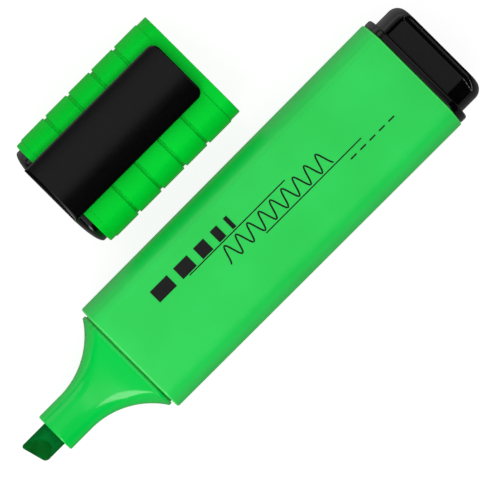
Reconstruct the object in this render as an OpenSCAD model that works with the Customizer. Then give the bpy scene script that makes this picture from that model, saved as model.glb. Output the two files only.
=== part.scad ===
// Flat highlighter pen with a chisel nib and a ribbed pull-off cap, in millimetres.
// The pen lies on its broad face with its axis along X: the nib points to -X and the end plug to +X.
// The cap lies beside it on the +Y side, clip upwards, with its mouth towards +X.

/* [Barrel] */
// Length of the barrel tube
barrel_len = 75.9; // [60:0.1:90]
// Width of the barrel at its front shoulder
barrel_front_w = 25.8; // [25.4:0.1:26]
// Width of the barrel at its rear end, after the moulding draft
barrel_rear_w = 26.3; // [26:0.1:27]
// Thickness of the barrel over its broad faces
barrel_h = 16; // [15.6:0.1:17]
// How far the middle of the barrel's rear end stands out past its sides
rear_bow = 0.5; // [0.1:0.1:0.8]
// Wall thickness of the barrel at its front shoulder
barrel_wall = 1.2; // [1:0.1:1.5]

/* [Nose] */
// Length of the collar that the cap slides over
collar_len = 1.1; // [0.8:0.1:2]
// Distance from the shoulder to where the flare meets the straight snout
flare_end = 14.4; // [12.5:0.1:14.6]
// Distance from the shoulder to the tip of the snout
snout_end = 20; // [18.5:0.1:21]
// Width of the straight snout
snout_w = 8.6; // [8:0.1:9]
// Thickness of the straight snout
snout_h = 6.6; // [6.2:0.1:7]

/* [Nib] */
// Width of the chisel nib
nib_w = 5.4; // [4.5:0.1:5.6]
// Thickness of the chisel nib
nib_h = 3.8; // [3:0.1:4]
// Length of nib that shows in front of the snout
nib_out = 6.4; // [6:0.1:8]
// Slant of the writing edge seen from above, in degrees
nib_slant = 15; // [5:1:25]

/* [End plug] */
// Thickness of the flange that closes the barrel
flange_t = 1.6; // [1:0.1:2.5]
// Width of the block behind the flange
block_w = 23.1; // [21:0.1:23.5]
// Length of the block behind the flange
block_len = 5.5; // [4:0.1:8]

/* [Cap] */
// Length of the ribbed sleeve
sleeve_len = 34.4; // [34:0.1:38]
// Width of the sleeve over its ribs
sleeve_w = 25.6; // [25:0.1:26]
// Distance from the mouth to the middle of the first groove
first_groove = 8.5; // [7:0.1:9]
// Spacing of the grooves between the ribs
groove_pitch = 6.1; // [5.5:0.05:6.2]
// Depth of the grooves between the ribs
groove_depth = 0.4; // [0.2:0.05:0.45]
// Width of the pocket clip
clip_w = 13.6; // [10:0.1:15]
// How far the clip sits to one side of the cap's middle
clip_aside = 1.3; // [0:0.1:2]
// Gap between the clip and the sleeve, where a pocket's hem goes
clip_gap = 1.1; // [0.9:0.1:1.6]
// Distance from the pen's axis across to the cap's axis
cap_aside = 30.7; // [28:0.1:45]
// Where the cap's mouth lies along the pen
cap_mouth_x = 9.6; // [0:0.1:20]

/* [Hidden] */
$fn = 48;

// Points on each quarter of a flat oval.
quarter_n = 12;
// Widest step that a cut makes past the face it starts from.
over = 1;

axis_z = barrel_h / 2;
shoulder_x = -barrel_len / 2;
rear_x = barrel_len / 2;

// Half sizes of the barrel's outside and of its bore. The flat is the half width of a broad face.
barrel_b = barrel_h / 2;
barrel_flat = 8.9;
bore_a = barrel_front_w / 2 - barrel_wall;
bore_b = barrel_b - 1.3;
bore_flat = 7.9;
edge_r = 0.3;
bow_r = pow(barrel_rear_w / 2, 2) / (2 * rear_bow);

// Clearance of a part that is pressed or slid into another.
fit_gap = 0.05;
slide_gap = 0.1;

// Nose: the spigot fills the barrel's bore and the collar is a little smaller.
spigot_len = 6.5;
collar_a = bore_a - 0.15;
collar_b = bore_b - 0.15;
collar_round = 0.15;
nose_flat_share = 0.65;
snout_flat_share = 0.1;
snout_x = shoulder_x - snout_end;
nose_wall = 1.3;
flare_n = 14;

// Nib and the slot that holds it.
nib_flat = 0.4;
nib_tail_x = shoulder_x + 6.5;
nib_tip_x = snout_x - nib_out;
nib_corner_r = 0.75;
nib_edge_t = 1.1;
nib_bevel_len = 3.6;
slot_gap = 0.04;

// Ink reservoir: a flat oval felt of fibre in a film sleeve, held between ribs in the barrel.
film_t = 0.15;
film_a = bore_a - 1;
film_b = bore_b - 0.9;
film_flat = 7.3;
reservoir_front_x = shoulder_x - 0.5;
skirt_len = 9;
reservoir_rear_x = rear_x - skirt_len - 0.2;
keeper_w = 0.9;
keeper_y = 6;

// End plug.
flange_a = barrel_rear_w / 2 - 0.25;
flange_b = barrel_b - 0.35;
flange_flat = 8.6;
block_a = block_w / 2;
block_b = 6.6;
block_flat = 7.9;
block_r = 2.4;
block_edge = 0.7;
block_n = 8;
panel_depth = 1;
panel_end_rim = 0.6;
panel_end_slope = 0.9;
panel_rims = [2.2, 1];
panel_slopes = [0.9, 0.4];
dip_w = 2.8;
dip_depth = 0.6;
plug_wall = 1.3;

// Cap sleeve. Distances along the cap run from its mouth, u = 0, to its closed end.
sleeve_a = sleeve_w / 2;
sleeve_b = barrel_b;
sleeve_flat = 8.7;
cap_bore_a = collar_a + slide_gap + 0.1;
cap_bore_b = collar_b + slide_gap + 0.1;
rib_n = 5;
groove_w = 0.6;
mouth_len = 2.35;
end_band = 1.4;
band_step = 0.2;
rib_round = 0.15;

// Cap top: it plugs the sleeve's end, and its end face bulges.
top_a = cap_bore_a - fit_gap - 0.05;
top_b = cap_bore_b - fit_gap - 0.05;
top_flat = 7.6;
top_in = 3;
top_out = 0.7;
top_bulge = 1.5;
top_n = 6;
cap_len = sleeve_len + top_out + top_bulge;

// Inner seal: a cup that closes round the snout.
seal_mouth = 15;
seal_wall = 1;
seal_a = snout_w / 2 + slide_gap;
seal_b = snout_h / 2 + slide_gap;
seal_flat = snout_w / 2 * snout_flat_share + 0.1;
seal_floor = sleeve_len - top_in;

// Clip: a tongue that turns about a line through its root when a pocket's hem bends it open.
clip_under = sleeve_b + clip_gap;
clip_t = 1.3;
clip_free = 2.3;
clip_corner_r = 1.7;
clip_crown = 0.6;
hinge_u = sleeve_len + 1.2;
hinge_z = clip_under + 0.55;
knuckle_r = 0.8;
knuckle_gap = 0.1;
bead_r = 0.75;
bead_u = clip_free + 2.2;
bead_gap = 0.3;

// A flat oval: two flats of half width f joined by quarter ellipses out to half width a, half height b.
function flat_oval(a, b, f) =
    let (
        step = 90 / quarter_n,
        quarter = [for (i = [0:quarter_n]) [f + (a - f) * cos(i * step), b * sin(i * step)]]
    )
    concat(
        quarter,
        [for (i = [quarter_n:-1:0]) [-quarter[i][0], quarter[i][1]]],
        [for (i = [1:quarter_n]) [-quarter[i][0], -quarter[i][1]]],
        [for (i = [quarter_n:-1:1]) [quarter[i][0], -quarter[i][1]]]
    );

// The same outline as a ring of points standing across X.
function ring(x, a, b, f) = [for (p = flat_oval(a, b, f)) [x, p[0], p[1]]];

// A solid skin over rings listed in order of rising x.
module loft(rings) {
    m = len(rings[0]);
    n = len(rings);
    sides = [
        for (i = [0:n - 2], j = [0:m - 1])
            let (k = (j + 1) % m, p = i * m, q = (i + 1) * m)
                each [[p + j, q + k, p + k], [p + j, q + j, q + k]]
    ];
    start = [for (j = [0:m - 1]) j];
    finish = [for (j = [m - 1:-1:0]) (n - 1) * m + j];
    polyhedron([for (r = rings) each r], concat([start], sides, [finish]));
}

// A straight bar of flat oval section from x0 to x1.
module oval_bar(x0, x1, a, b, f) {
    translate([x0, 0, 0]) rotate([90, 0, 90]) linear_extrude(x1 - x0) polygon(flat_oval(a, b, f));
}

// A plate seen from above: an outline in X and Y, from z0 to z1.
module plate(points, z0, z1) {
    translate([0, 0, z0]) linear_extrude(z1 - z0) polygon(points);
}

// A block seen from the side: an outline in X and Z, of width w across Y.
module side_block(points, w) {
    translate([0, w / 2, 0]) rotate([90, 0, 0]) linear_extrude(w) polygon(points);
}

// A wide drum, bowed like the barrel's rear end, that reaches to x on the pen's axis.
module bow_drum(x) {
    translate([x - bow_r, 0, -barrel_h]) cylinder(h = 2 * barrel_h, r = bow_r, $fn = 720);
}

module barrel() {
    front_a = barrel_front_w / 2;
    rear_a = barrel_rear_w / 2;
    color("limegreen") translate([0, 0, axis_z]) {
        difference() {
            intersection() {
                loft([
                    ring(shoulder_x, front_a - edge_r, barrel_b - edge_r, barrel_flat),
                    ring(shoulder_x + edge_r, front_a, barrel_b, barrel_flat),
                    ring(rear_x + edge_r, rear_a, barrel_b, barrel_flat)
                ]);
                bow_drum(rear_x);
            }
            oval_bar(shoulder_x - over, rear_x + over, bore_a, bore_b, bore_flat);
        }
        for (side = [-1, 1]) barrel_keepers(side);
    }
}

// Ribs on one broad face that hold the reservoir off the barrel's wall.
module barrel_keepers(side) {
    keeper_x0 = shoulder_x + spigot_len + 0.5;
    keeper_x1 = rear_x - skirt_len - 0.5;
    keeper_z = film_b + fit_gap;
    for (y = [-keeper_y, 0, keeper_y])
        translate([keeper_x0, y - keeper_w / 2, side > 0 ? keeper_z : -bore_b - 0.2])
            cube([keeper_x1 - keeper_x0, keeper_w, bore_b + 0.2 - keeper_z]);
}

// Half width or half height of the flare at a distance from the shoulder: an arc that runs into the snout.
function flare(from, to, u) =
    let (
        run = flare_end - collar_len,
        drop = from - to,
        r = (run * run + drop * drop) / (2 * drop),
        v = flare_end - u
    )
    to + r - sqrt(r * r - v * v);

function nose_ring(u, inset) =
    let (
        a = flare(collar_a - collar_round, snout_w / 2, u) - inset,
        b = flare(collar_b - collar_round, snout_h / 2, u) - inset,
        share = nose_flat_share + (snout_flat_share - nose_flat_share) * (u - collar_len) / (flare_end - collar_len)
    )
    ring(shoulder_x - u, a, b, a * share);

module nose_section() {
    snout_a = snout_w / 2;
    snout_b = snout_h / 2;
    snout_flat = snout_a * snout_flat_share;
    collar_flat = collar_a * nose_flat_share;
    step = (flare_end - collar_len) / flare_n;
    color("mediumseagreen") translate([0, 0, axis_z]) difference() {
        union() {
            loft(concat(
                [ring(snout_x, snout_a - 0.25, snout_b - 0.25, snout_flat),
                    ring(snout_x + 0.25, snout_a, snout_b, snout_flat)],
                [for (i = [flare_n:-1:0]) nose_ring(collar_len + i * step, 0)],
                [ring(shoulder_x - collar_len + collar_round, collar_a, collar_b, collar_flat),
                    ring(shoulder_x + 0.5, collar_a, collar_b, collar_flat)]
            ));
            oval_bar(shoulder_x, shoulder_x + spigot_len, bore_a - fit_gap, bore_b - fit_gap, bore_flat);
        }
        oval_bar(reservoir_front_x - 0.2, shoulder_x + spigot_len + over,
            film_a + fit_gap, film_b + fit_gap, film_flat);
        nose_hollow();
        oval_bar(snout_x - over, shoulder_x, nib_w / 2 + slot_gap, nib_h / 2 + slot_gap, nib_flat);
    }
}

// The hollow behind the flare, one wall thickness inside it.
module nose_hollow() {
    u0 = collar_len + 1;
    u1 = flare_end - 4.4;
    n = 6;
    step = (u1 - u0) / n;
    loft(concat(
        [for (i = [n:-1:0]) nose_ring(u0 + i * step, nose_wall)],
        [ring(reservoir_front_x - 0.1, 9.2, 4.9, 5.8)]
    ));
}

// Plan outline of the nib: the writing edge slants and its two corners are round.
module nib_plan() {
    half = nib_w / 2;
    slope = tan(nib_slant);
    r = nib_corner_r;
    hull() {
        translate([nib_tip_x + r, half - r]) circle(r, $fn = 24);
        translate([nib_tip_x + r + (nib_w - 2 * r) * slope, r - half]) circle(r, $fn = 24);
        translate([nib_tail_x - 1, -half]) square([1, nib_w]);
    }
}

module nib() {
    edge = nib_edge_t / 2;
    color("darkgreen") translate([0, 0, axis_z]) intersection() {
        oval_bar(nib_tip_x - over, nib_tail_x, nib_w / 2, nib_h / 2, nib_flat);
        translate([0, 0, -nib_h]) linear_extrude(2 * nib_h) nib_plan();
        translate([nib_tip_x, 0, 0]) rotate([0, 0, -nib_slant]) side_block([
            [-3, 0],
            [0, -edge],
            [nib_bevel_len, -nib_h / 2 - 0.1],
            [60, -nib_h / 2 - 0.1],
            [60, nib_h / 2 + 0.1],
            [nib_bevel_len, nib_h / 2 + 0.1],
            [0, edge]
        ], 40);
    }
}

module ink_reservoir() {
    color("green") translate([0, 0, axis_z]) difference() {
        oval_bar(reservoir_front_x, reservoir_rear_x, film_a - film_t, film_b - film_t, film_flat);
        oval_bar(reservoir_front_x - over, nib_tail_x + 0.1,
            nib_w / 2 + slot_gap, nib_h / 2 + slot_gap, nib_flat);
    }
}

module reservoir_film() {
    color("white", 0.5) translate([0, 0, axis_z]) difference() {
        oval_bar(reservoir_front_x, reservoir_rear_x, film_a, film_b, film_flat);
        oval_bar(reservoir_front_x - over, reservoir_rear_x + over, film_a - film_t, film_b - film_t, film_flat);
    }
}

// The block's rings: straight, then rounded over its end.
function block_ring(i) =
    let (
        t = 90 * i / block_n,
        x = rear_x + flange_t + block_len - block_r * (1 - sin(t)),
        inset = block_r * (1 - cos(t))
    )
    ring(x, block_a - inset, block_b - block_edge * (1 - cos(t)), block_flat - 0.4 * inset);

module end_plug() {
    flange_x = rear_x + flange_t;
    block_x = flange_x + block_len;
    color([0.1, 0.1, 0.1]) translate([0, 0, axis_z]) difference() {
        union() {
            difference() {
                intersection() {
                    oval_bar(rear_x - 1, flange_x + over, flange_a, flange_b, flange_flat);
                    bow_drum(flange_x);
                }
                bow_drum(rear_x);
            }
            loft(concat(
                [ring(flange_x - 1, block_a, block_b, block_flat)],
                [for (i = [0:block_n]) block_ring(i)]
            ));
            oval_bar(rear_x - skirt_len, rear_x + 0.5, bore_a - fit_gap, bore_b - fit_gap, bore_flat);
        }
        for (turn = [0, 180]) rotate([turn, 0, 0]) plug_panel(flange_x, block_x - panel_end_rim);
        oval_bar(rear_x - skirt_len - over, block_x - 2.2,
            bore_a - plug_wall - 1, bore_b - plug_wall - 1.1, bore_flat - 0.8);
    }
}

// A panel sunk in a broad face of the block, open towards the flange. Its floor dips along one side.
module plug_panel(x0, x1) {
    floor_z = block_b - panel_depth;
    left = block_a - panel_rims[0];
    right = panel_rims[1] - block_a;
    low = right + panel_slopes[1];
    floor_end = x1 - panel_end_slope;
    hull() {
        plate([
            [x0, low],
            [floor_end, low],
            [floor_end, left - panel_slopes[0]],
            [x0, left - panel_slopes[0]]
        ], floor_z, floor_z + 0.01);
        plate([[x0, right], [x1, right], [x1, left], [x0, left]], block_b, block_b + over);
    }
    hull() {
        plate([[x0, low + 0.01], [floor_end, low + 0.01], [floor_end, low], [x0, low]],
            floor_z - dip_depth, floor_z);
        plate([[x0, low + dip_w], [floor_end, low + dip_w], [floor_end, low], [x0, low]],
            floor_z - 0.01, floor_z + 0.01);
    }
}

// Where the cap lies: u runs from its mouth towards -X.
module place_cap() {
    translate([cap_mouth_x, cap_aside, axis_z]) children();
}

// The sleeve's outer rings over one rib, from its far edge back to its near edge.
function rib_rings(i) =
    let (
        first = i == 0,
        last = i == rib_n - 1,
        near = first ? mouth_len : first_groove + (i - 1) * groove_pitch + groove_w / 2,
        far = last ? sleeve_len - end_band : first_groove + i * groove_pitch - groove_w / 2,
        dn = first ? band_step : groove_depth,
        df = last ? band_step : groove_depth
    )
    [
        ring(-far, sleeve_a - df, sleeve_b - df, sleeve_flat),
        ring(-far + rib_round * 0.3, sleeve_a - df * 0.3, sleeve_b - df * 0.3, sleeve_flat),
        ring(-far + rib_round, sleeve_a, sleeve_b, sleeve_flat),
        ring(-near - rib_round, sleeve_a, sleeve_b, sleeve_flat),
        ring(-near - rib_round * 0.3, sleeve_a - dn * 0.3, sleeve_b - dn * 0.3, sleeve_flat),
        ring(-near, sleeve_a - dn, sleeve_b - dn, sleeve_flat)
    ];

module cap_sleeve() {
    d = band_step;
    color("limegreen") place_cap() difference() {
        loft(concat(
            [ring(-sleeve_len, sleeve_a - d - edge_r, sleeve_b - d - edge_r, sleeve_flat),
                ring(-sleeve_len + edge_r, sleeve_a - d, sleeve_b - d, sleeve_flat)],
            [for (i = [rib_n - 1:-1:0]) each rib_rings(i)],
            [ring(-0.15, sleeve_a - d, sleeve_b - d, sleeve_flat),
                ring(0, sleeve_a - d - 0.15, sleeve_b - d - 0.15, sleeve_flat)]
        ));
        oval_bar(-sleeve_len - over, over, cap_bore_a, cap_bore_b, bore_flat);
    }
}

// The cap's end face: rings that close in as they bulge.
function top_ring(i) =
    let (t = 90 * i / top_n, s = 0.42 + 0.58 * cos(t))
    ring(-sleeve_len - top_out - top_bulge * sin(t), top_a * s, top_b * s, top_flat * s);

module cap_top() {
    riser_u0 = sleeve_len + fit_gap;
    riser_u1 = hinge_u + 0.95;
    riser_z = clip_under - 0.1;
    color([0.1, 0.1, 0.1]) place_cap() difference() {
        union() {
            loft(concat(
                [for (i = [top_n:-1:0]) top_ring(i)],
                [ring(-sleeve_len + top_in, top_a, top_b, top_flat)]
            ));
            translate([0, clip_aside, 0]) side_block([
                [-riser_u1, 2],
                [-riser_u0, 2],
                [-riser_u0, riser_z],
                [-riser_u1, riser_z]
            ], clip_w);
        }
        translate([-hinge_u, clip_w, hinge_z]) rotate([90, 0, 0])
            cylinder(h = 2 * clip_w, r = knuckle_r + knuckle_gap);
        oval_bar(-sleeve_len - 0.4, -sleeve_len + top_in + over, top_a - 1.2, top_b - 1.2, top_flat - 0.4);
    }
}

module cap_inner_seal() {
    a = seal_a + seal_wall;
    b = seal_b + seal_wall;
    flange_u = sleeve_len + 0.4 - fit_gap;
    color("honeydew") place_cap() difference() {
        union() {
            oval_bar(-flange_u, -seal_mouth, a, b, seal_flat + 0.2);
            oval_bar(-flange_u, -flange_u + 1.2, top_a - 1.2 - fit_gap, top_b - 1.2 - fit_gap, top_flat - 0.4);
        }
        oval_bar(-seal_floor, over - seal_mouth, seal_a, seal_b, seal_flat);
    }
}

// Plan outline of the clip's tongue, with round corners at its free end.
module clip_plan() {
    half = clip_w / 2;
    r = clip_corner_r;
    hull() {
        for (side = [-1, 1]) translate([-clip_free - r, side * (half - r)]) circle(r, $fn = 32);
        translate([-hinge_u, -half]) square([1, clip_w]);
    }
}

module cap_clip() {
    crown_r = (pow(clip_w / 2, 2) + pow(clip_crown, 2)) / (2 * clip_crown);
    top_z = clip_under + clip_t;
    bead_z = sleeve_b + bead_gap + bead_r;
    color([0.1, 0.1, 0.1]) place_cap() translate([0, clip_aside, 0]) {
        intersection() {
            union() {
                translate([0, 0, clip_under]) linear_extrude(2 * clip_t) clip_plan();
                translate([-hinge_u, clip_w / 2, hinge_z]) rotate([90, 0, 0]) cylinder(h = clip_w, r = knuckle_r);
            }
            translate([-hinge_u - over, 0, top_z - crown_r]) rotate([0, 90, 0])
                cylinder(h = hinge_u + over, r = crown_r, $fn = 200);
        }
        translate([-bead_u, clip_w / 2 - 1, bead_z]) rotate([90, 0, 0]) cylinder(h = clip_w - 2, r = bead_r);
        translate([-bead_u - bead_r, 1 - clip_w / 2, bead_z])
            cube([2 * bead_r, clip_w - 2, clip_under - bead_z + 0.1]);
    }
}

barrel();
nose_section();
nib();
ink_reservoir();
reservoir_film();
end_plug();
cap_sleeve();
cap_top();
cap_inner_seal();
cap_clip();
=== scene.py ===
# %% [markdown]
# # A flat highlighter with its cap off
# The object is a green highlighter pen that lies on its broad face, with its ribbed cap beside it.
# Every moulded part is built again here as a fine, smooth skin with real edge radii, because a
# model made for measuring has flat facets that gloss shows up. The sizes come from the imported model.

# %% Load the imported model
import math

import bmesh
import bpy
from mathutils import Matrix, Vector


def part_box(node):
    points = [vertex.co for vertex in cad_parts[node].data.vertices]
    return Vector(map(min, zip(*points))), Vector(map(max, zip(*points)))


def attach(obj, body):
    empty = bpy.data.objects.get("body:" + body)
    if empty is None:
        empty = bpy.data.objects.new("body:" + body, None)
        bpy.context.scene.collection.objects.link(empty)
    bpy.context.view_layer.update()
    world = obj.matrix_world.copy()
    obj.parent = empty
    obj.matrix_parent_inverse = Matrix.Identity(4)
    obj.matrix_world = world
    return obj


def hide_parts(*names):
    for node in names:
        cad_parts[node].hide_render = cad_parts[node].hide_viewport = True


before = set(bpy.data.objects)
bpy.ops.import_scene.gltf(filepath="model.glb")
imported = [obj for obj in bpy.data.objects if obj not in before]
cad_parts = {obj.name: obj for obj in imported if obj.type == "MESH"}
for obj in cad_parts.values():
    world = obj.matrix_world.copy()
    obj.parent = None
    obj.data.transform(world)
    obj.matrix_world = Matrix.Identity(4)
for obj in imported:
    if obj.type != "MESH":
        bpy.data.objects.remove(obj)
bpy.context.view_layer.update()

print("nodes:", sorted(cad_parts))

# %% [markdown]
# Lengths in this script are in millimetres, the unit that a mould maker thinks in, and they become
# metres when a mesh is made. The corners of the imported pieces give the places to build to.

# %% Places along the pen, in millimetres
MM = 0.001


def node_box(node):
    low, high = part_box(node)
    return [c / MM for c in low], [c / MM for c in high]


BARREL_LOW, BARREL_HIGH = node_box("barrel")
SNOUT_X = node_box("nose_section")[0][0]
NIB_LOW, NIB_HIGH = node_box("nib")
BLOCK_END = node_box("end_plug")[1][0]
SLEEVE_LOW, SLEEVE_HIGH = node_box("cap_sleeve")
CLIP_LOW, CLIP_HIGH = node_box("cap_clip")

AXIS_Z = BARREL_HIGH[2] / 2
SHOULDER_X = BARREL_LOW[0]
REAR_X = BARREL_HIGH[0]
CAP_Y = (SLEEVE_LOW[1] + SLEEVE_HIGH[1]) / 2
MOUTH_X = SLEEVE_HIGH[0]
SLEEVE_LEN = MOUTH_X - SLEEVE_LOW[0]
print("barrel from", round(SHOULDER_X, 2), "to", round(REAR_X, 2), "and cap axis at", round(CAP_Y, 2))

# %% [markdown]
# Most parts have the same kind of section: two flats joined by quarter ellipses. A part is then a
# stack of such rings along X. A stack could be drawn as a curve with a bevel object, but rings give
# exact control of every radius, so each fillet is a few extra rings that curve in.

# %% Rings and skins
QUARTER = 20


def flat_oval(a, b, flat):
    """Points (y, z) round a flat oval: half width a, half height b, flats out to y = flat."""
    quarter = []
    for i in range(QUARTER + 1):
        t = math.pi / 2 * i / QUARTER
        quarter.append((flat + (a - flat) * math.cos(t), b * math.sin(t)))
    points = list(quarter)
    points += [(-y, z) for y, z in reversed(quarter)]
    points += [(-y, -z) for y, z in quarter[1:]]
    points += [(y, -z) for y, z in reversed(quarter[1:])]
    return points


print("a flat oval has", len(flat_oval(2.0, 1.0, 1.0)), "points")


def ring(x, a, b, flat, bow=0.0):
    """A flat oval standing across X. With a bow, its sides fall back from x by bow at y = a."""
    return [(x - bow * (y / a) ** 2, y, z) for y, z in flat_oval(a, b, flat)]


def skin(rings, hollow=False):
    """Vertices and faces over rings that run towards +X. A hollow one comes back inside itself."""
    size = len(rings[0])
    verts = [p for one in rings for p in one]
    faces = []
    count = len(rings)
    for i in range(count if hollow else count - 1):
        here = i * size
        there = (i + 1) % count * size
        for j in range(size):
            k = (j + 1) % size
            faces.append((here + j, here + k, there + k, there + j))
    if not hollow:
        faces.append(tuple(reversed(range(size))))
        faces.append(tuple((count - 1) * size + j for j in range(size)))
    return verts, faces


def joined(*parts):
    """Several (vertices, faces) pairs as one."""
    verts, faces = [], []
    for more_verts, more_faces in parts:
        start = len(verts)
        verts += more_verts
        faces += [tuple(start + v for v in face) for face in more_faces]
    return verts, faces


def rounding(radius, steps):
    """(along, inset) pairs for a quarter round that starts at an end face and runs out to the side."""
    pairs = []
    for i in range(steps + 1):
        t = math.pi / 2 * i / steps
        pairs.append((radius * (1 - math.cos(t)), radius * (1 - math.sin(t))))
    return pairs


print("a 1 mm round in two steps:", [(round(a, 2), round(i, 2)) for a, i in rounding(1.0, 2)])

# %% [markdown]
# The nib, the clip and the end plug's block are not stacks of rings: their top faces have slants,
# crowns and sunk panels. Each is a slab, made of two height fields over one plan and a wall between.

# %% Slabs
def slab(xs, half_width, across, top, bottom):
    """A solid between heights top(x, y) and bottom(x, y). across runs -1 to 1 over half_width(x)."""
    rows, columns = len(xs), len(across)
    verts = []
    for height in (top, bottom):
        for x in xs:
            width = half_width(x)
            for v in across:
                verts.append((x, width * v, height(x, width * v)))
    below = rows * columns
    faces = []
    for i in range(rows - 1):
        for j in range(columns - 1):
            p = i * columns + j
            q = p + columns
            faces.append((p, q, q + 1, p + 1))
            faces.append((below + p, below + p + 1, below + q + 1, below + q))
    for i in range(rows - 1):
        p = i * columns
        q = p + columns
        faces.append((p, below + p, below + q, q))
        p += columns - 1
        q += columns - 1
        faces.append((p, q, below + q, below + p))
    last = (rows - 1) * columns
    for j in range(columns - 1):
        faces.append((j, j + 1, below + j + 1, below + j))
        faces.append((last + j, below + last + j, below + last + j + 1, last + j + 1))
    return verts, faces


def moved(part, y=0.0, z=0.0):
    verts, faces = part
    return [(a, b + y, c + z) for a, b, c in verts], faces


def spread(count):
    """Places from -1 to 1, closer together near the ends, where a round edge needs them."""
    return [math.sin(math.pi / 2 * (2 * i / (count - 1) - 1)) for i in range(count)]


def even(start, end, count):
    """Evenly spaced places from start to end, both included."""
    return [start + (end - start) * i / (count - 1) for i in range(count)]


def arc_steps(count):
    """Sines of a quarter turn in even angles, from 0 to 1, for places along a round."""
    return [math.sin(math.pi / 2 * i / count) for i in range(count + 1)]


def arc_height(radius, across):
    """How far a circle stands up at a distance across from its middle, and 0 outside it."""
    return math.sqrt(max(0.0, radius ** 2 - across ** 2))


print("five places spread over a width:", [round(v, 2) for v in spread(5)])

# %% [markdown]
# A piece is a mesh object with a name, a body that it moves with, a finish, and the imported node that
# it stands for. Faces are smooth, and only edges sharper than 40 degrees stay crisp.

# %% Make a piece
CRISP_DEGREES = 40
WELD = 0.002


def piece(name, part, body, material, nodes=()):
    """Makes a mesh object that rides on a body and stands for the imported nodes."""
    verts, faces = part
    mesh = bpy.data.meshes.new(name)
    mesh.from_pydata([[c * MM for c in v] for v in verts], [], faces)
    mesh.validate()
    work = bmesh.new()
    work.from_mesh(mesh)
    bmesh.ops.remove_doubles(work, verts=work.verts, dist=WELD * MM)
    bmesh.ops.recalc_face_normals(work, faces=work.faces)
    work.to_mesh(mesh)
    work.free()
    mesh.shade_smooth()
    mesh.set_sharp_from_angle(angle=math.radians(CRISP_DEGREES))
    mesh.materials.append(material)
    made = bpy.data.objects.new(name, mesh)
    bpy.context.scene.collection.objects.link(made)
    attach(made, body)
    if nodes:
        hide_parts(*nodes)
    print(name, "has", len(mesh.vertices), "vertices")
    return made


print("edges sharper than", CRISP_DEGREES, "degrees stay crisp")

# %% [markdown]
# Plastics and fibre are made of the same few nodes, so one function adds a node with its settings
# and links. Patterns are drawn in the object's own millimetres, so they keep their size. Colours
# are written as sRGB hex, as a colour picker shows them, and one function turns them to the linear
# values that the shader needs.

# %% Colour and node helpers
def linear(hex_colour):
    channels = [int(hex_colour[i:i + 2], 16) / 255 for i in (1, 3, 5)]
    curve = [c / 12.92 if c <= 0.04045 else ((c + 0.055) / 1.055) ** 2.4 for c in channels]
    return (*curve, 1.0)


def add(tree, kind, settings=None, inputs=None):
    """Adds a node. inputs maps a socket's name or index to a value, or to (node, output name)."""
    node = tree.nodes.new(kind)
    for key, value in (settings or {}).items():
        setattr(node, key, value)
    for key, value in (inputs or {}).items():
        if isinstance(value, tuple) and isinstance(value[0], bpy.types.Node):
            tree.links.new(value[0].outputs[value[1]], node.inputs[key])
        else:
            node.inputs[key].default_value = value
    return node


def start_material(name):
    material = bpy.data.materials.new(name)
    material.use_nodes = True
    tree = material.node_tree
    tree.nodes.clear()
    place = add(tree, "ShaderNodeTexCoord")
    return material, tree, place


def stretched(tree, place, cells_per_mm):
    """The object's own coordinates, scaled so that one unit is one cell of a pattern."""
    scale = [c / MM for c in cells_per_mm]
    return add(tree, "ShaderNodeMapping", inputs={"Vector": (place, "Object"), "Scale": scale})


def finish_material(tree, shader):
    add(tree, "ShaderNodeOutputMaterial", inputs={"Surface": (shader, "BSDF")})


print("#808080 is", round(linear("#808080")[0], 3), "in linear light")

# %% [markdown]
# ## Moulded polypropylene
# The barrel, nose and cap are injection-moulded polypropylene, dyed with a fluorescent green. The
# eye reads it as a strong, even colour with a soft sheen. The mould leaves a fine satin grain, and
# the plastic cools unevenly, which shows as slow, faint waves in the gloss. Grain of 0.05 mm is too
# fine to show, so it is drawn 0.3 mm coarse. The waves are about 9 mm long, and the dye clouds over
# about 14 mm. The rounds at the barrel's ends get a paler copy of the plastic, a painted highlight
# that stands for the thin bright line their reflection gives along the ends.

# %% Polypropylene material
GRAIN_MM = 0.3
WAVE_MM = 9.0
CLOUD_MM = 14.0
SPREAD_MM = 2.0


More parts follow.
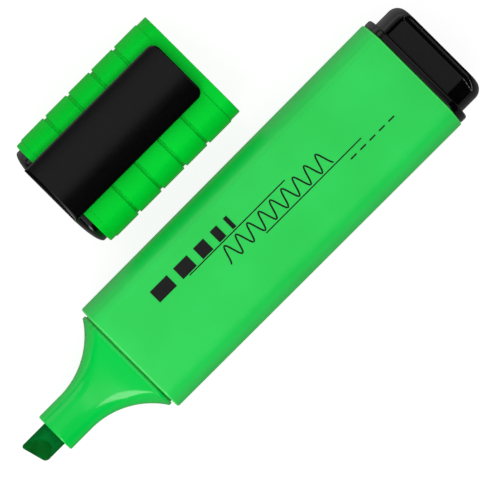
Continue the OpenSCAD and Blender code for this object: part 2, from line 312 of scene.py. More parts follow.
def moulded_plastic(name, deep, light, roughness, gloss, grain, wave, soft=0.0):
    """grain and wave are heights in millimetres. soft is how much light spreads inside."""
    material, tree, place = start_material(name)
    cloud_space = stretched(tree, place, [1 / CLOUD_MM] * 3)
    clouds = add(tree, "ShaderNodeTexNoise", inputs={
        "Vector": (cloud_space, "Vector"), "Scale": 1.0, "Detail": 3.0, "Roughness": 0.5})
    tint = add(tree, "ShaderNodeValToRGB", inputs={"Fac": (clouds, "Fac")})
    tint.color_ramp.elements[0].position = 0.3
    tint.color_ramp.elements[0].color = linear(deep)
    tint.color_ramp.elements[1].position = 0.7
    tint.color_ramp.elements[1].color = linear(light)
    grain_space = stretched(tree, place, [1 / GRAIN_MM] * 3)
    grains = add(tree, "ShaderNodeTexNoise", inputs={
        "Vector": (grain_space, "Vector"), "Scale": 1.0, "Detail": 2.0})
    wave_space = stretched(tree, place, [1 / WAVE_MM] * 3)
    waves = add(tree, "ShaderNodeTexNoise", inputs={
        "Vector": (wave_space, "Vector"), "Scale": 1.0, "Detail": 1.0})
    rough = add(tree, "ShaderNodeMapRange", inputs={
        "Value": (grains, "Fac"), "To Min": roughness * 0.85, "To Max": roughness * 1.15})
    slow = add(tree, "ShaderNodeBump", inputs={
        "Height": (waves, "Fac"), "Strength": 1.0, "Distance": wave * MM})
    fine = add(tree, "ShaderNodeBump", inputs={
        "Height": (grains, "Fac"), "Strength": 1.0, "Distance": grain * MM,
        "Normal": (slow, "Normal")})
    shader = add(tree, "ShaderNodeBsdfPrincipled", inputs={
        "Base Color": (tint, "Color"), "Roughness": (rough, "Result"), "IOR": 1.49,
        "Specular IOR Level": gloss, "Normal": (fine, "Normal"),
        "Subsurface Weight": soft, "Subsurface Scale": SPREAD_MM * MM})
    finish_material(tree, shader)
    print(name, "has roughness", roughness)
    return material


# %% The four green plastics
BARREL_PLASTIC = moulded_plastic(
    "satin_moulded_polypropylene", "#0CB440", "#14BC48",
    roughness=0.34, gloss=0.5, grain=0.003, wave=0.04)
# A paler copy of the barrel plastic, a painted highlight for the barrel's end rounds.
PAINTED_EDGE_HIGHLIGHT_PLASTIC = moulded_plastic(
    "painted_edge_highlight_polypropylene", "#30C24C", "#38C852",
    roughness=0.34, gloss=0.5, grain=0.003, wave=0.04)
NOSE_PLASTIC = moulded_plastic(
    "gloss_moulded_polypropylene", "#00AE3A", "#00B440",
    roughness=0.16, gloss=0.5, grain=0.001, wave=0.05)
CAP_PLASTIC = moulded_plastic(
    "semi_gloss_moulded_polypropylene", "#00AC24", "#00B62C",
    roughness=0.3, gloss=0.03, grain=0.002, wave=0.04)

# %% [markdown]
# ## Black gloss plastic
# The end plug, the cap's top and the clip are polystyrene, dyed black and moulded in a polished
# tool. The eye reads it from its reflections alone. Handling leaves faint hairlines about 0.1 mm
# wide, drawn 0.25 mm wide, and they only change the gloss. The print on the barrel is the same
# black with a satin surface.

# %% Black plastic material
HAIR_MM = (6.0, 0.25, 0.5)
DUST_MM = 0.6


def black_plastic(name, roughness):
    material, tree, place = start_material(name)
    hair_space = stretched(tree, place, [1 / size for size in HAIR_MM])
    hairs = add(tree, "ShaderNodeTexNoise", inputs={
        "Vector": (hair_space, "Vector"), "Scale": 1.0, "Detail": 4.0, "Roughness": 0.6})
    dust_space = stretched(tree, place, [1 / DUST_MM] * 3)
    dust = add(tree, "ShaderNodeTexNoise", inputs={
        "Vector": (dust_space, "Vector"), "Scale": 1.0, "Detail": 5.0, "Roughness": 0.7})
    tint = add(tree, "ShaderNodeValToRGB", inputs={"Fac": (dust, "Fac")})
    tint.color_ramp.elements[0].position = 0.45
    tint.color_ramp.elements[0].color = linear("#020202")
    tint.color_ramp.elements[1].position = 0.8
    tint.color_ramp.elements[1].color = linear("#060606")
    rough = add(tree, "ShaderNodeMapRange", inputs={
        "Value": (hairs, "Fac"), "To Min": roughness * 0.75, "To Max": roughness * 1.3})
    relief = add(tree, "ShaderNodeBump", inputs={
        "Height": (hairs, "Fac"), "Strength": 1.0, "Distance": 0.0015 * MM})
    shader = add(tree, "ShaderNodeBsdfPrincipled", inputs={
        "Base Color": (tint, "Color"), "Roughness": (rough, "Result"), "IOR": 1.55,
        "Normal": (relief, "Normal")})
    finish_material(tree, shader)
    print(name, "has roughness", roughness)
    return material


BLACK_PLASTIC = black_plastic("polished_black_polystyrene", roughness=0.17)

# %% [markdown]
# ## Fibre
# The nib is polyester fibre bonded with resin and ground to a chisel, then soaked in ink. The fibres
# run along the pen. Real ones are 0.02 mm thick and are drawn 0.16 mm thick, so that they show. Wet
# fibre is dark and hardly shines. The ground faces get a darker copy of the fibre, painted shade for
# their tilt away from the light. The reservoir is the same fibre, unbonded and looser.

# %% Fibre material
STRAND_MM = (2.4, 0.16, 0.16)
SOAK_MM = 3.0


def inked_fibre(name, deep, light, roughness, relief_mm):
    material, tree, place = start_material(name)
    strand_space = stretched(tree, place, [1 / size for size in STRAND_MM])
    strands = add(tree, "ShaderNodeTexNoise", inputs={
        "Vector": (strand_space, "Vector"), "Scale": 1.0, "Detail": 3.0, "Roughness": 0.6})
    soak_space = stretched(tree, place, [1 / SOAK_MM] * 3)
    soak = add(tree, "ShaderNodeTexNoise", inputs={
        "Vector": (soak_space, "Vector"), "Scale": 1.0, "Detail": 2.0})
    blend = add(tree, "ShaderNodeMath", {"operation": "MULTIPLY_ADD"}, {
        0: (strands, "Fac"), 1: 0.6, 2: (soak, "Fac")})
    tint = add(tree, "ShaderNodeValToRGB", inputs={"Fac": (blend, "Value")})
    tint.color_ramp.elements[0].position = 0.55
    tint.color_ramp.elements[0].color = linear(deep)
    tint.color_ramp.elements[1].position = 1.0
    tint.color_ramp.elements[1].color = linear(light)
    relief = add(tree, "ShaderNodeBump", inputs={
        "Height": (strands, "Fac"), "Strength": 1.0, "Distance": relief_mm * MM})
    shader = add(tree, "ShaderNodeBsdfPrincipled", inputs={
        "Base Color": (tint, "Color"), "Roughness": roughness, "IOR": 1.4,
        "Specular IOR Level": 0.02, "Normal": (relief, "Normal")})
    finish_material(tree, shader)
    print(name, "has roughness", roughness)
    return material


NIB_FIBRE = inked_fibre("ink_soaked_bonded_fibre", "#004A16", "#006426", 0.5, 0.01)
# A darker copy of the nib fibre, painted shade for the ground faces.
PAINTED_SHADE_GROUND_FIBRE = inked_fibre("ink_soaked_ground_fibre_painted_shade", "#003C0C", "#005016", 0.5, 0.01)
RESERVOIR_FIBRE = inked_fibre("ink_soaked_loose_fibre", "#0E9A38", "#2BC95A", 0.8, 0.06)

# %% [markdown]
# ## Inside parts
# The reservoir, its film and the cap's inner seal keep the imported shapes, because they are plain and
# hidden or nearly so. They get their own finishes: the film is thin, pale polypropylene, and the
# seal is natural polyethylene, which looks milky because light spreads inside it.

# %% Finishes for the inside parts
FILM = moulded_plastic(
    "thin_polypropylene_film", "#DDE8DC", "#EEF4EC",
    roughness=0.25, gloss=0.5, grain=0.001, wave=0.02)
SEAL_PLASTIC = moulded_plastic(
    "natural_moulded_polyethylene", "#DDE2D8", "#E8ECE2",
    roughness=0.4, gloss=0.5, grain=0.003, wave=0.03, soft=0.3)
for node, material in (
    ("ink_reservoir", RESERVOIR_FIBRE),
    ("reservoir_film", FILM),
    ("cap_inner_seal", SEAL_PLASTIC),
):
    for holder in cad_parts[node].material_slots:
        holder.material = material
    print(node, "finished")

# %% [markdown]
# ## Barrel
# A flat oval tube, a little wider at the rear so that it slides off its core in the mould. It is a
# hollow skin: the rings run along the outside, turn over each end with a small round, and come back
# along the bore. The rear end is bowed, so its middle stands out past its sides.

# %% Barrel
BARREL_B = AXIS_Z
FRONT_A = 12.9
REAR_A = BARREL_HIGH[1]
BARREL_FLAT = 8.9
WALL = 1.2
BROAD_WALL = 1.3
BORE_A = FRONT_A - WALL
BORE_B = BARREL_B - BROAD_WALL
BORE_FLAT = 7.9
EDGE_R = 0.35
EDGE_STEPS = 5
REAR_BOW = 0.5

outside = []
for along, inset in rounding(EDGE_R, EDGE_STEPS):
    outside.append(ring(SHOULDER_X + along, FRONT_A - inset, BARREL_B - inset, BARREL_FLAT))
for share in even(0.06, 0.94, 12):
    outside.append(ring(
        SHOULDER_X + share * (REAR_X - SHOULDER_X),
        FRONT_A + share * (REAR_A - FRONT_A),
        BARREL_B,
        BARREL_FLAT,
        REAR_BOW * share ** 6,
    ))
REAR_BAND = len(outside)
for along, inset in reversed(rounding(EDGE_R, EDGE_STEPS)):
    outside.append(ring(REAR_X - along, REAR_A - inset, BARREL_B - inset, BARREL_FLAT, REAR_BOW))
bore = [
    ring(REAR_X, BORE_A, BORE_B, BORE_FLAT, REAR_BOW * (BORE_A / REAR_A) ** 2),
    ring(SHOULDER_X, BORE_A, BORE_B, BORE_FLAT),
]
barrel = piece(
    "barrel_tube", moved(skin(outside + bore, hollow=True), z=AXIS_Z),
    "pen", BARREL_PLASTIC, ["barrel"])

# The bands of faces over the two end rounds get the paler plastic: a painted highlight on the end
# edges.
barrel.data.materials.append(PAINTED_EDGE_HIGHLIGHT_PLASTIC)
for face in barrel.data.polygons:
    band = face.index // len(outside[0])
    face.material_index = int(band < EDGE_STEPS or REAR_BAND <= band < REAR_BAND + EDGE_STEPS)

# %% [markdown]
# ## Nose section
# A collar that the cap slides over, then a flare that sweeps in to a straight snout. The flare is an
# arc in plan and in side view, so its rings shrink along the arc, and its flats narrow until the
# snout is nearly an ellipse.

# %% Rings along the flare
COLLAR_LEN = 1.1
FLARE_END = 14.4
COLLAR_FLAT = 0.65
SNOUT_FLAT = 0.1
COLLAR_FIT = 0.15
COLLAR_ROUND = 0.15
COLLAR_A = BORE_A - COLLAR_FIT
COLLAR_B = BORE_B - COLLAR_FIT
SNOUT_A = 4.3
SNOUT_B = 3.3


def flare(start, end, u):
    """A half size on the flare, u from the shoulder: an arc that runs straight into the snout."""
    run = FLARE_END - COLLAR_LEN
    drop = start - end
    radius = (run * run + drop * drop) / (2 * drop)
    return end + radius - math.sqrt(radius * radius - (FLARE_END - u) ** 2)


def nose_ring(u):
    """A ring at u from the shoulder. The flat's share of the half width runs with u."""
    a = flare(COLLAR_A - COLLAR_ROUND, SNOUT_A, u)
    b = flare(COLLAR_B - COLLAR_ROUND, SNOUT_B, u)
    share = COLLAR_FLAT + (SNOUT_FLAT - COLLAR_FLAT) * (u - COLLAR_LEN) / (FLARE_END - COLLAR_LEN)
    return ring(SHOULDER_X - u, a, b, a * share)


print("the collar is", round(2 * COLLAR_A, 2), "mm wide and the snout", 2 * SNOUT_A)

# %% [markdown]
# The snout's mouth has a small lip round the slot that grips the nib. A narrow relief beside the
# barrel's shoulder gives the dark line between the two mouldings.

# %% Nose section
RELIEF = 0.35
SNOUT_ROUND = 0.3
SLOT_DEPTH = 3.0
SLOT_GAP = 0.05
SLOT_LIP = 0.35
NIB_A = (NIB_HIGH[1] - NIB_LOW[1]) / 2
NIB_B = (NIB_HIGH[2] - NIB_LOW[2]) / 2
NIB_FLAT = 0.4

slot = ((SLOT_DEPTH, SLOT_GAP, 0.0), (0.25, SLOT_GAP, 0.0), (0.05, 0.2, 0.0), (0.0, SLOT_LIP, 0.2))
nose_rings = []
for deep, gap, wider_flat in slot:
    nose_rings.append(ring(SNOUT_X + deep, NIB_A + gap, NIB_B + gap, NIB_FLAT + wider_flat))
for along, inset in rounding(SNOUT_ROUND, 5):
    nose_rings.append(ring(SNOUT_X + along, SNOUT_A - inset, SNOUT_B - inset, SNOUT_A * SNOUT_FLAT))
for u in even(SHOULDER_X - SNOUT_X - 4 * SNOUT_ROUND, FLARE_END + 2 * SNOUT_ROUND, 5):
    nose_rings.append(ring(SHOULDER_X - u, SNOUT_A, SNOUT_B, SNOUT_A * SNOUT_FLAT))
nose_rings += [nose_ring(u) for u in even(FLARE_END, COLLAR_LEN, 44)]
collar = [(along - COLLAR_LEN, inset) for along, inset in rounding(COLLAR_ROUND, 3)[1:]]
collar += [(-0.4, 0.0), (-0.36, RELIEF), (0.2, RELIEF), (1.0, 0.0)]
for along, inset in collar:
    nose_rings.append(ring(
        SHOULDER_X + along, COLLAR_A - inset, COLLAR_B - inset, COLLAR_A * COLLAR_FLAT))
piece(
    "nose_moulding", moved(skin(nose_rings), z=AXIS_Z),
    "pen", NOSE_PLASTIC, ["nose_section"])

# %% [markdown]
# ## Chisel nib
# A rod of fibre with an oval section, ground to a chisel. Seen from above its edge slants, and its
# corners are round. The ground faces are planes, so where they cut the oval they leave a curved
# boundary. As a slab, the height at any place is the lower of the oval and the ground plane.

# %% Heights of the nib
NIB_SLANT = math.radians(15)
NIB_CORNER_R = 0.75
NIB_EDGE_HALF = 0.55
NIB_BEVEL_LEN = 3.6
NIB_SOFT = 0.16
NIB_LIP = 0.3


def nib_front(y):
    """How far back from the foremost tip the writing edge is, at y."""
    past = max(0.0, abs(y) - (NIB_A - NIB_CORNER_R))
    corner = NIB_CORNER_R - arc_height(NIB_CORNER_R, past)
    return (NIB_A - y) * math.tan(NIB_SLANT) + corner


def nib_oval(y):
    """Half thickness of the unground rod, at y."""
    side = max(0.0, abs(y) - NIB_FLAT) / (NIB_A - NIB_FLAT)
    return NIB_B * arc_height(1.0, side)


def nib_rise(back):
    """How much thicker the ground wedge is than its edge, at a distance back from the edge."""
    return (NIB_B - NIB_EDGE_HALF) * back / NIB_BEVEL_LEN


def nib_height(back, y):
    """Half thickness of the finished nib: the edge is round, and the ground boundary is eased."""
    lip = min(1.0, back / NIB_LIP)
    ground = NIB_EDGE_HALF * arc_height(1.0, 1 - lip) + nib_rise(back)
    gap = max(0.0, NIB_SOFT - abs(nib_oval(y) - ground)) / NIB_SOFT
    return max(0.0, min(nib_oval(y), ground) - gap * gap * NIB_SOFT / 4 * min(1.0, back))


print("the nib is", round(2 * nib_height(1.0, 0.0), 2), "mm thick 1 mm from its edge")

# %% [markdown]
# The rows of the slab follow the slanted edge near the tip and turn square to the pen at the tail,
# so a row lies exactly along the edge. Faces under the ground plane get the darker fibre, as painted
# shade.

# %% Chisel nib
nib_backs = [0.0, 0.03, 0.08, 0.15, 0.22, NIB_LIP, 0.4] + even(0.55, 9.0, 60)
nib_across = spread(61)
nib_verts = []
for sign in (1, -1):
    for back in nib_backs:
        for v in nib_across:
            y = NIB_A * v
            reach = nib_front(y) * (1 - back / nib_backs[-1])
            nib_verts.append((NIB_LOW[0] + reach + back, y, sign * nib_height(back, y)))
nib_faces = slab(nib_backs, lambda x: 1, nib_across, lambda x, y: 0, lambda x, y: 0)[1]
nib = piece(
    "chisel_nib", moved((nib_verts, nib_faces), z=AXIS_Z),
    "pen", NIB_FIBRE, ["nib"])
# Faces of the ground wedge take the darker fibre: painted shade.
nib.data.materials.append(PAINTED_SHADE_GROUND_FIBRE)
for face in nib.data.polygons:
    x, y, z = face.center / MM
    back = x - NIB_LOW[0] - nib_front(y)
    face.material_index = int(NIB_EDGE_HALF + nib_rise(back) < nib_oval(y))

# %% [markdown]
# ## End plug
# A flange closes the barrel, and behind it stands a block with a sunk panel in each broad face. The
# block is a slab: its height is that of the oval block or of the panel, whichever is lower, with the
# edge between them slightly rounded. The panel has soft slopes at one side and at the end, and a dip
# and a steep wall at the other side, which catch the light.

# %% Heights of the end plug's block
BLOCK_A = 11.55
BLOCK_B = 6.6
BLOCK_FLAT = 7.9
BLOCK_CORNER = 2.4
BLOCK_DROP = 0.7
PANEL_DEPTH = 1.0
PANEL_END = BLOCK_END - 0.6
PANEL_LEFT = BLOCK_A - 2.2
PANEL_RIGHT = 1.0 - BLOCK_A
PANEL_SOFT = 0.12
PANEL_SLOPE = 0.9
PANEL_WALL = 0.4
DIP_W = 2.8
DIP_DEPTH = 0.6


def block_half(x):
    past = max(0.0, x - (BLOCK_END - BLOCK_CORNER))
    return BLOCK_A - BLOCK_CORNER + arc_height(BLOCK_CORNER, past)


def panel_rise(x, y):
    """How far the panel stands over its flat floor. It is below the floor in the dip."""
    low_side = PANEL_RIGHT + PANEL_WALL
    return max(
        -DIP_DEPTH * min(1.0, max(0.0, (low_side + DIP_W - y) / DIP_W)),
        (y - (PANEL_LEFT - PANEL_SLOPE)) / PANEL_SLOPE * PANEL_DEPTH,
        (x - (PANEL_END - PANEL_SLOPE)) / PANEL_SLOPE * PANEL_DEPTH,
        (low_side - y) / PANEL_WALL * (PANEL_DEPTH + DIP_DEPTH) - DIP_DEPTH,
    )


def block_top(x, y):
    half = block_half(x)
    inset = BLOCK_A - half
    flat = BLOCK_FLAT - 0.4 * inset
    side = max(0.0, abs(y) - flat) / (half - flat)
    outer = (BLOCK_B - BLOCK_DROP * inset / BLOCK_CORNER) * arc_height(1.0, side)
    panel = BLOCK_B - PANEL_DEPTH + min(panel_rise(x, y), 1.5 * PANEL_DEPTH)
    gap = max(0.0, PANEL_SOFT - abs(outer - panel)) / PANEL_SOFT
    return min(outer, panel) - gap * gap * PANEL_SOFT / 4 * min(1.0, outer)


print("the panel's floor is", PANEL_DEPTH, "mm deep, and its dip", PANEL_DEPTH + DIP_DEPTH)

# %% [markdown]
# The flange is rings, bowed like the barrel's end. The lower face of the block is the upper one
# turned over about the pen's axis, so both panels look the same from their own side.

# %% End plug
FLANGE_A = REAR_A - 0.25
FLANGE_B = BARREL_B - 0.35
FLANGE_X = REAR_X + 1.6
FLANGE_FLAT = 8.6
FLANGE_BOW = REAR_BOW * 0.92
BURIED = 1.0

flange = []
for along, inset in rounding(0.25, 3):
    flange.append(ring(
        REAR_X + along, FLANGE_A - inset, FLANGE_B - inset, FLANGE_FLAT, FLANGE_BOW))
for along, inset in reversed(rounding(0.5, 5)):
    flange.append(ring(
        FLANGE_X - along, FLANGE_A - inset, FLANGE_B - inset, FLANGE_FLAT - inset * 0.3, FLANGE_BOW))
block_xs = even(FLANGE_X - BURIED, BLOCK_END - BLOCK_CORNER, 30)
block_xs += [BLOCK_END - BLOCK_CORNER + BLOCK_CORNER * step for step in arc_steps(24)[1:]]
block = slab(
    block_xs, block_half, spread(181), block_top, lambda x, y: -block_top(x, -y))
piece(
    "end_plug_moulding", moved(joined(skin(flange), block), z=AXIS_Z),
    "pen", BLACK_PLASTIC, ["end_plug"])

# %% [markdown]
# ## Cap sleeve
# A flat oval tube like the barrel, with five raised bands that help the fingers pull it. Between
# the bands are narrow grooves. The rings step in and out of each groove with small rounds. They are
# listed from the closed end to the mouth, so that they run towards +X.

# %% Cap sleeve
SLEEVE_A = (SLEEVE_HIGH[1] - SLEEVE_LOW[1]) / 2
SLEEVE_FLAT = 8.7
GROOVE_DEPTH = 0.4
GROOVE_W = 0.6
RIB_ROUND = 0.14
GROOVE_1 = 8.5
PITCH = 6.1
BAND_STEP = 0.2
MOUTH_BAND = 2.35
END_BAND = 1.4
BANDS = 5
WALL_LEAN = 0.02
BORE_CHAMFER = 0.15
CAP_BORE_A = COLLAR_A + 0.2
CAP_BORE_B = COLLAR_B + 0.2


def sleeve_ring(u, inset):
    """A ring of the sleeve at u from its mouth."""
    return ring(MOUTH_X - u, SLEEVE_A - inset, BARREL_B - inset, SLEEVE_FLAT)


profile = [(SLEEVE_LEN - along, BAND_STEP + inset) for along, inset in rounding(0.3, 4)]
for i in reversed(range(BANDS)):
    first, last = i == 0, i == BANDS - 1
    near = MOUTH_BAND if first else GROOVE_1 + (i - 1) * PITCH + GROOVE_W / 2
    far = SLEEVE_LEN - END_BAND if last else GROOVE_1 + i * PITCH - GROOVE_W / 2
    profile.append((far, BAND_STEP if last else GROOVE_DEPTH))
    for along, inset in rounding(RIB_ROUND, 4):
        profile.append((far - WALL_LEAN - along, inset))
    for along, inset in reversed(rounding(RIB_ROUND, 4)):
        profile.append((near + WALL_LEAN + along, inset))
    profile.append((near, BAND_STEP if first else GROOVE_DEPTH))
for along, inset in reversed(rounding(0.2, 4)):
    profile.append((along, BAND_STEP + inset))
sleeve_outside = [sleeve_ring(u, inset) for u, inset in profile]
sleeve_bore = [
    ring(MOUTH_X, CAP_BORE_A + BORE_CHAMFER, CAP_BORE_B + BORE_CHAMFER, BORE_FLAT),
    ring(MOUTH_X - 0.2, CAP_BORE_A, CAP_BORE_B, BORE_FLAT),
    ring(MOUTH_X - SLEEVE_LEN, CAP_BORE_A, CAP_BORE_B, BORE_FLAT),
]
piece(
    "cap_ribbed_sleeve", moved(skin(sleeve_outside + sleeve_bore, hollow=True), y=CAP_Y, z=AXIS_Z),
    "cap", CAP_PLASTIC, ["cap_sleeve"])

# %% [markdown]
# ## Cap top
# A black plug that closes the sleeve. Its end bulges, so its rings shrink along a quarter turn.

# %% Bulging end of the cap top
TOP_A = CAP_BORE_A - 0.1
TOP_B = CAP_BORE_B - 0.1
TOP_FLAT = 7.6
TOP_OUT = 0.7
TOP_BULGE = 1.5
TOP_SPREAD = 0.58
TOP_STEPS = 12

top_rings = []
for i in range(TOP_STEPS, -1, -1):
    t = math.pi / 2 * i / TOP_STEPS
    share = 1 - TOP_SPREAD + TOP_SPREAD * math.cos(t)
    x = SLEEVE_LOW[0] - TOP_OUT - TOP_BULGE * math.sin(t)
    top_rings.append(ring(x, TOP_A * share, TOP_B * share, TOP_FLAT * share))
top_rings.append(ring(SLEEVE_LOW[0] + 3.0, TOP_A, TOP_B, TOP_FLAT))
dome = moved(skin(top_rings), y=CAP_Y, z=AXIS_Z)
print("the bulge stands", TOP_OUT + TOP_BULGE, "mm out of the sleeve")

# %% [markdown]
# A riser under the clip carries the clip's root. It is a slab with a rounded rear edge and rounded
# long edges, like the clip's own.

# %% Cap top
CLIP_Y = (CLIP_LOW[1] + CLIP_HIGH[1]) / 2 - CAP_Y
CLIP_HALF = (CLIP_HIGH[1] - CLIP_LOW[1]) / 2
CLIP_UNDER = BARREL_B + 1.1
RISER_TOP = CLIP_UNDER - 0.36
RISER_REAR = SLEEVE_LOW[0] - 2.15
RISER_ROUND = 0.35
RISER_FOOT = 2.0


def riser_height(x, y):
    edge = min(x - RISER_REAR, CLIP_HALF - abs(y), RISER_ROUND)
    return RISER_TOP - RISER_ROUND + arc_height(RISER_ROUND, RISER_ROUND - edge)


riser_xs = even(RISER_REAR, RISER_REAR + RISER_ROUND, 7) + [SLEEVE_LOW[0] - 0.9, SLEEVE_LOW[0] - 0.06]
riser_across = even(-1, -0.94, 7) + even(-0.8, 0.8, 9) + even(0.94, 1, 7)
riser = slab(riser_xs, lambda x: CLIP_HALF, riser_across, riser_height, lambda x, y: RISER_FOOT)
piece(
    "cap_top_moulding", joined(dome, moved(riser, y=CAP_Y + CLIP_Y, z=AXIS_Z)),
    "cap", BLACK_PLASTIC, ["cap_top"])

# %% [markdown]
# ## Pocket clip
# A tongue with a crowned face and rounded corners, and a bead across its inside that grips cloth.
# As a slab, the top is the crown, lowered near the outline by the edge round. The distance to the
# outline is that of a rectangle with round corners. The root is a round knuckle, about which the
# clip turns.

# %% Heights of the clip
CLIP_T = 1.3
CLIP_CROWN = 0.6
CLIP_CORNER = 1.7
CLIP_EDGE = 0.4
CLIP_FREE_X = CLIP_HIGH[0]
KNUCKLE_R = 0.8
HINGE_X = CLIP_LOW[0] + KNUCKLE_R
HINGE_Z = CLIP_UNDER + 0.55
BEAD_X = MOUTH_X - 4.5
BEAD_R = 0.75
BEAD_Z = BARREL_B + 0.3 + BEAD_R
ROOT_END = 0.58


def clip_half(x):
    past = max(0.0, x - (CLIP_FREE_X - CLIP_CORNER))
    return CLIP_HALF - CLIP_CORNER + arc_height(CLIP_CORNER, past)


def to_outline(x, y):
    """How far inside the clip's plan outline a place is."""
    px = x - (CLIP_FREE_X - CLIP_CORNER)
    py = abs(y) - (CLIP_HALF - CLIP_CORNER)
    if px > 0 and py > 0:
        return max(0.0, CLIP_CORNER - math.hypot(px, py))
    return max(0.0, CLIP_CORNER - max(px, py))


def clip_top(x, y):
    edge = min(CLIP_EDGE, to_outline(x, y))
    crown = CLIP_UNDER + CLIP_T - CLIP_CROWN * (y / CLIP_HALF) ** 2
    crown -= CLIP_EDGE - arc_height(CLIP_EDGE, CLIP_EDGE - edge)
    if x < HINGE_X:
        crown = HINGE_Z + arc_height(1.0, (x - HINGE_X) / KNUCKLE_R) * (crown - HINGE_Z)
    return crown


def clip_bottom(x, y):
    low = CLIP_UNDER
    if x < HINGE_X + ROOT_END:
        low = HINGE_Z - arc_height(KNUCKLE_R, x - HINGE_X)
    if abs(x - BEAD_X) < BEAD_R and abs(y) < CLIP_HALF - 1:
        low = min(low, BEAD_Z - arc_height(BEAD_R, x - BEAD_X))
    return low


print("the bead leaves", round(clip_bottom(BEAD_X, 0.0) - BARREL_B, 2), "mm over the cap")

# %% [markdown]
# The rows are closest where the clip curves along its length: over the knuckle, over the bead and
# round the free corners.

# %% Pocket clip
clip_xs = [HINGE_X - KNUCKLE_R * math.cos(math.pi / 2 * i / 10) for i in range(11)]
clip_xs += even(HINGE_X + 0.1, HINGE_X + ROOT_END, 6) + even(HINGE_X + 1.5, BEAD_X - 1.0, 20)
clip_xs += [BEAD_X + BEAD_R * math.sin(math.pi / 2 * i / 8) for i in range(-8, 9)]
clip_xs += [CLIP_FREE_X - CLIP_CORNER + CLIP_CORNER * step for step in arc_steps(20)]
clip_xs.sort()
piece(
    "pocket_clip", moved(
        slab(clip_xs, clip_half, spread(73), clip_top, clip_bottom), y=CAP_Y + CLIP_Y, z=AXIS_Z),
    "clip", BLACK_PLASTIC, ["cap_clip"])

# %% [markdown]
# ## Printed marks
# Such a pen has dark print on its broad face. This one carries no words: it has plain marks, which
# say what the pen draws. They are a row of solid bars that narrow from 4.5 to 0.9 mm, as its lines
# can, a wavy line, a row of dashes, and two thin rules. Ink from a pad is 0.01 mm thick, and is
# drawn as a film 0.03 mm thick with its own satin finish, so that it is a piece and not only a
# colour. Half of the film's thickness is sunk in the barrel, so no gap shows under it.

# %% Shapes of ink
FILM_MM = 0.03
INK_TOP = BARREL_HIGH[2] + FILM_MM / 2
INK_LOW = BARREL_HIGH[2] - FILM_MM / 2


def printed(outline):
    """A thin plate of ink over a convex outline, seen from above."""
    count = len(outline)
    verts = [(x, y, INK_LOW) for x, y in outline] + [(x, y, INK_TOP) for x, y in outline]
    faces = [tuple(reversed(range(count))), tuple(range(count, 2 * count))]
    faces += [(i, (i + 1) % count, count + (i + 1) % count, count + i) for i in range(count)]
    return verts, faces


def mark_box(x0, x1, y0, y1):
    """x runs from the shoulder towards the end plug, y from the pen's axis towards the cap."""
    a, b = SHOULDER_X + x0, SHOULDER_X + x1
    return printed([(a, y0), (b, y0), (b, y1), (a, y1)])


def wavy_line(x0, x1, y0, y1, waves, thick):
    """A line of even thickness that swings between y0 and y1, as short plates end to end."""
    parts = []
    steps = waves * 16
    for i in range(steps):
        ends = []
        for k in (i, i + 1):
            t = k / steps
            swing = 0.5 - 0.5 * math.cos(2 * math.pi * waves * t)
            slope = (y1 - y0) * math.pi * waves / (x1 - x0) * math.sin(2 * math.pi * waves * t)
            length = math.hypot(1, slope)
            centre = (SHOULDER_X + x0 + (x1 - x0) * t, y0 + (y1 - y0) * swing)
            ends.append((centre, (-slope / length * thick / 2, 1 / length * thick / 2)))
        (c0, n0), (c1, n1) = ends
        parts.append(printed([
            (c0[0] - n0[0], c0[1] - n0[1]), (c1[0] - n1[0], c1[1] - n1[1]),
            (c1[0] + n1[0], c1[1] + n1[1]), (c0[0] + n0[0], c0[1] + n0[1])]))
    return parts


print("one wave is", len(wavy_line(0.0, 1.0, 0.0, 1.0, 1, 0.1)), "short plates")

# %% Printed marks
RULE_W = 0.24
BAR_GAP = 1.7
marks = []
x = 11.5
for width in (4.5, 3.6, 2.7, 1.8, 0.9):
    marks.append(mark_box(x, x + width, 3.3, 6.1))
    x += width + BAR_GAP
marks.append(mark_box(19.0, 44.3, 3.0 - RULE_W / 2, 3.0 + RULE_W / 2))
marks += wavy_line(26.0, 53.2, -1.1, 2.3, 9, 0.34)
marks.append(mark_box(34.8, 60.0, -1.6 - RULE_W / 2, -1.6 + RULE_W / 2))
for i in range(5):
    marks.append(mark_box(55.8 + i * 2.5, 57.3 + i * 2.5, -3.2, -2.9))
PRINT_INK = black_plastic("satin_pad_printing_ink", roughness=0.5)
piece("printed_marks", joined(*marks), "pen", PRINT_INK)

# %% [markdown]
# ## Floor
# The floor is a wide sheet of pale paper. It glows a little, as paper lit from all round does in a
# light tent, so the shadows on it stay faint, and it is left out of the gloss.

# %% Floor
MOTTLE_MM = 40.0


def floor_material():
    material, tree, place = start_material("pale_paper_sweep")
    space = stretched(tree, place, [1 / MOTTLE_MM] * 3)
    mottle = add(tree, "ShaderNodeTexNoise", inputs={
        "Vector": (space, "Vector"), "Scale": 1.0, "Detail": 2.0})
    tint = add(tree, "ShaderNodeValToRGB", inputs={"Fac": (mottle, "Fac")})
    tint.color_ramp.elements[0].color = linear("#6C6C6C")
    tint.color_ramp.elements[1].color = linear("#707070")
    shader = add(tree, "ShaderNodeBsdfPrincipled", inputs={
        "Base Color": (tint, "Color"), "Roughness": 0.9, "Specular IOR Level": 0.1,
        "Emission Color": (1, 1, 1, 1), "Emission Strength": 0.86})
    finish_material(tree, shader)
    return material


FLOOR_HALF = 3.0
floor_mesh = bpy.data.meshes.new("floor")
floor_mesh.from_pydata(
    [(-FLOOR_HALF, -FLOOR_HALF, 0), (FLOOR_HALF, -FLOOR_HALF, 0),
     (FLOOR_HALF, FLOOR_HALF, 0), (-FLOOR_HALF, FLOOR_HALF, 0)], [], [(0, 1, 2, 3)])
floor_mesh.materials.append(floor_material())
floor = bpy.data.objects.new("floor", floor_mesh)
floor.location.z = -0.0001
floor.visible_glossy = False
bpy.context.scene.collection.objects.link(floor)
print("floor", 2 * FLOOR_HALF, "m wide")

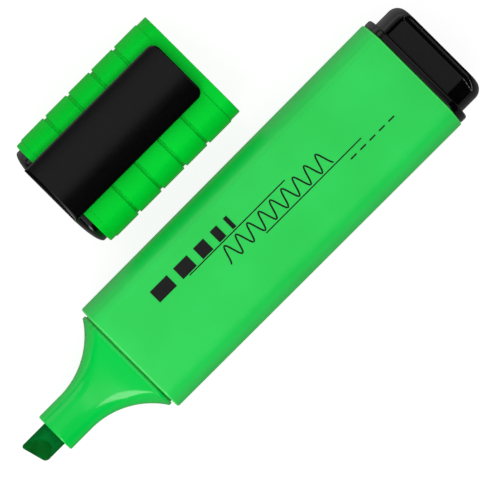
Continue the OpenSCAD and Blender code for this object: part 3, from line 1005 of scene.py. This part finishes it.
# %% [markdown]
# ## Lights
# A wide ceiling gives the even light, and the gloss doesn't show it. The gloss sees a few panels
# instead, in dark surroundings. Each light's strength is given as the brightness of its face, so its
# size can change without changing what the gloss shows.

# %% One light panel
def soft_light(name, place, aim, size, radiance, gloss=True):
    """A light panel, (wide, high) in metres. With no aim it hangs level and faces down.

    Its strength is the brightness of its face.
    """
    wide, high = size
    data = bpy.data.lights.new(name, "AREA")
    data.shape = "RECTANGLE"
    data.size = wide
    data.size_y = high
    data.energy = radiance * math.pi * wide * high
    light = bpy.data.objects.new(name, data)
    light.location = place
    light.rotation_mode = "QUATERNION"
    if aim:
        light.rotation_quaternion = (Vector(aim) - Vector(place)).to_track_quat("-Z", "Y")
    light.visible_camera = False
    light.visible_glossy = gloss
    bpy.context.scene.collection.objects.link(light)
    print(name, "at", [round(c, 2) for c in place], "brightness", radiance)


def around(toward_x, toward_y, off_vertical, distance=1.0):
    """A place at an angle off the vertical, in degrees, over the direction (toward_x, toward_y)."""
    reach = distance * math.sin(math.radians(off_vertical)) / math.hypot(toward_x, toward_y)
    height = distance * math.cos(math.radians(off_vertical))
    return toward_x * reach, toward_y * reach, height


print("straight over the pen, 1 m up:", around(1, 0, 0))

# %% [markdown]
# A dim panel hangs overhead, towards the cap's side, so that its edge is mirrored near the middle of
# the crowned clip: one half of the clip is grey and the other black. A wide one beside it goes on to
# the side. Two stand by the nose, the bright one for the streak on the flare, and one stands past
# the end plug for the rounded end of its block. Two on the cap's side lighten the sides there.

# %% Lights
CENTRE = (-0.007, 0.004, 0.01)
soft_light("ceiling", (0.0, 0.1, 1.3), None, (5.0, 5.0), 1.2, gloss=False)
soft_light("crown_panel", (0.1, 0.14, 1.0), None, (0.9, 0.4), 0.31)
soft_light("crown_side_panel", (0.1, 0.5, 0.9), CENTRE, (0.9, 0.3), 0.22)
soft_light("nose_panel", around(-1, -0.3, 27), CENTRE, (0.34, 0.5), 0.8)
soft_light("nose_softbox", around(-0.866, -0.5, 60), CENTRE, (0.5, 0.94), 4.3)
soft_light("plug_softbox", around(1, 0, 35), CENTRE, (0.5, 0.4), 0.5)
soft_light("cap_side_softbox", around(0, 1, 55), CENTRE, (1.2, 0.45), 0.8)
soft_light("cap_side_wall", around(0, 1, 88, 1.3), CENTRE, (3.0, 0.5), 0.5)

# %% [markdown]
# The surroundings are dark above and glow a little below the horizon, as the floor would if the
# gloss could see it. The glow is brighter towards the cap's side.

# %% Surroundings
BACK_GLOW = 0.13
SIDE_GLOW = 0.45
world = bpy.data.worlds.new("studio")
bpy.context.scene.world = world
world.use_nodes = True
sky = world.node_tree
direction = add(sky, "ShaderNodeTexCoord")
split = add(sky, "ShaderNodeSeparateXYZ", inputs={"Vector": (direction, "Generated")})
below = add(sky, "ShaderNodeMath", {"operation": "LESS_THAN"}, {0: (split, "Z"), 1: 0.0})
nearer_cap = add(sky, "ShaderNodeMapRange", inputs={
    "Value": (split, "Y"), "From Min": 0.2, "From Max": 0.9,
    "To Min": BACK_GLOW, "To Max": SIDE_GLOW})
glow = add(sky, "ShaderNodeMath", {"operation": "MULTIPLY"}, {
    0: (below, "Value"), 1: (nearer_cap, "Result")})
sky.links.new(glow.outputs["Value"], sky.nodes["Background"].inputs["Strength"])
sky.nodes["Background"].inputs["Color"].default_value = (1, 1, 1, 1)
print("glow below the horizon from", BACK_GLOW, "to", SIDE_GLOW)

# %% [markdown]
# ## Camera
# The camera looks straight down from far off with a long lens, turned so that the pen lies along
# the rising diagonal.

# %% Camera
CAMERA_TURN = -45.1
CAMERA_HEIGHT = 2.0
FRAME_WIDTH = 0.0904
FRAME_CENTRE = Vector((-0.00755, 0.00099, 0.008))
camera_data = bpy.data.cameras.new("camera")
camera_data.sensor_width = 36.0
camera_data.lens = 36.0 * CAMERA_HEIGHT / FRAME_WIDTH
camera_data.clip_start = 0.1
camera_data.clip_end = 20.0
camera = bpy.data.objects.new("camera", camera_data)
camera.location = FRAME_CENTRE + Vector((0, 0, CAMERA_HEIGHT))
camera.rotation_euler = (0, 0, math.radians(CAMERA_TURN))
bpy.context.scene.collection.objects.link(camera)
bpy.context.scene.camera = camera
bpy.context.scene.view_settings.view_transform = "Standard"
print("camera", [round(c, 3) for c in camera.location])
